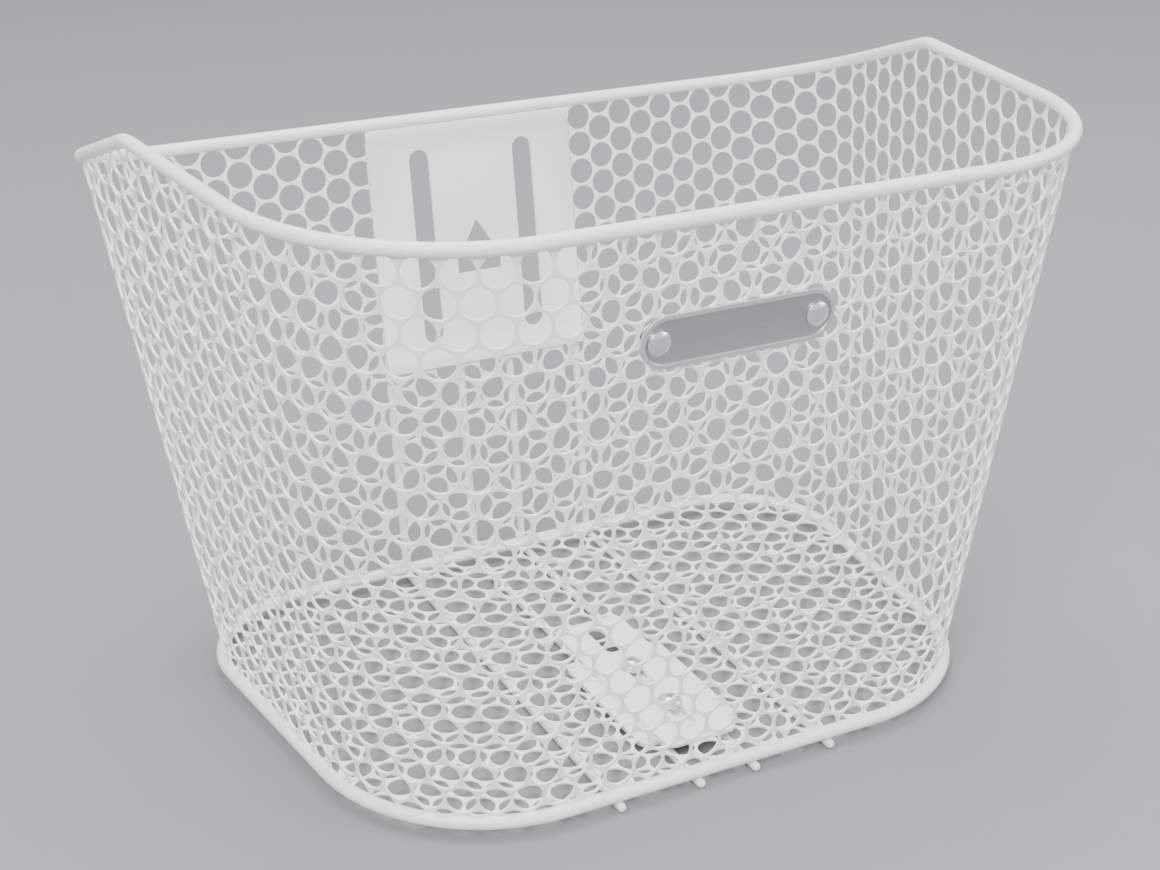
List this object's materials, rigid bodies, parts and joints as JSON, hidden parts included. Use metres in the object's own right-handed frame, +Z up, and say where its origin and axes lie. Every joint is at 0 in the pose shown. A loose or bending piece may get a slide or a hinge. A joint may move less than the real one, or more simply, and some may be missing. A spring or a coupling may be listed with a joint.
{
  "type": "front bicycle basket",
  "caption": "Tapered front basket for a bicycle: perforated sheet walls and bottom, wire rim, slotted mounting plate at the back and a clamp in the bottom.",
  "frame": {"origin": "on the ground, in the middle of the basket's outer box", "axes": "+X across the basket, +Y back towards the bicycle, +Z up"},
  "size_m": [0.3524, 0.252, 0.2363],
  "materials": {
    "coated_mesh": "white powder coat on perforated steel sheet",
    "coated_wire": "white powder coat on steel wire",
    "coated_plate": "white powder coat on pressed steel plate",
    "zinc": "bright plated steel",
    "badge": "satin grey field inside a brighter raised edge",
    "rivet": "smooth domed rivet"
  },
  "bodies": {
    "root": {"backing_plate": "coated_plate", "badge": "badge", "badge_rivets": "rivet", "base_ring": "coated_wire", "bottom_sheet": "coated_mesh", "clamp_bolts": "zinc", "clamp_nuts": "zinc", "clamp_plate": "coated_plate", "clamp_washers": "zinc", "mounting_plate": "coated_plate", "rim_wire": "coated_wire", "rivet_backs": "rivet", "support_wire_1": "coated_wire", "support_wire_2": "coated_wire", "support_wire_3": "coated_wire", "support_wire_4": "coated_wire", "wall_back_left": "coated_mesh", "wall_back_lower": "coated_mesh", "wall_back_right": "coated_mesh", "wall_corner_back_left_1": "coated_mesh", "wall_corner_back_left_2": "coated_mesh", "wall_corner_back_left_3": "coated_mesh", "wall_corner_back_left_4": "coated_mesh", "wall_corner_back_right_1": "coated_mesh", "wall_corner_back_right_2": "coated_mesh", "wall_corner_back_right_3": "coated_mesh", "wall_corner_back_right_4": "coated_mesh", "wall_corner_front_left_1": "coated_mesh", "wall_corner_front_left_2": "coated_mesh", "wall_corner_front_left_3": "coated_mesh", "wall_corner_front_left_4": "coated_mesh", "wall_corner_front_right_1": "coated_mesh", "wall_corner_front_right_2": "coated_mesh", "wall_corner_front_right_3": "coated_mesh", "wall_corner_front_right_4": "coated_mesh", "wall_front": "coated_mesh", "wall_left": "coated_mesh", "wall_right": "coated_mesh"}
  },
  "joints": []
}
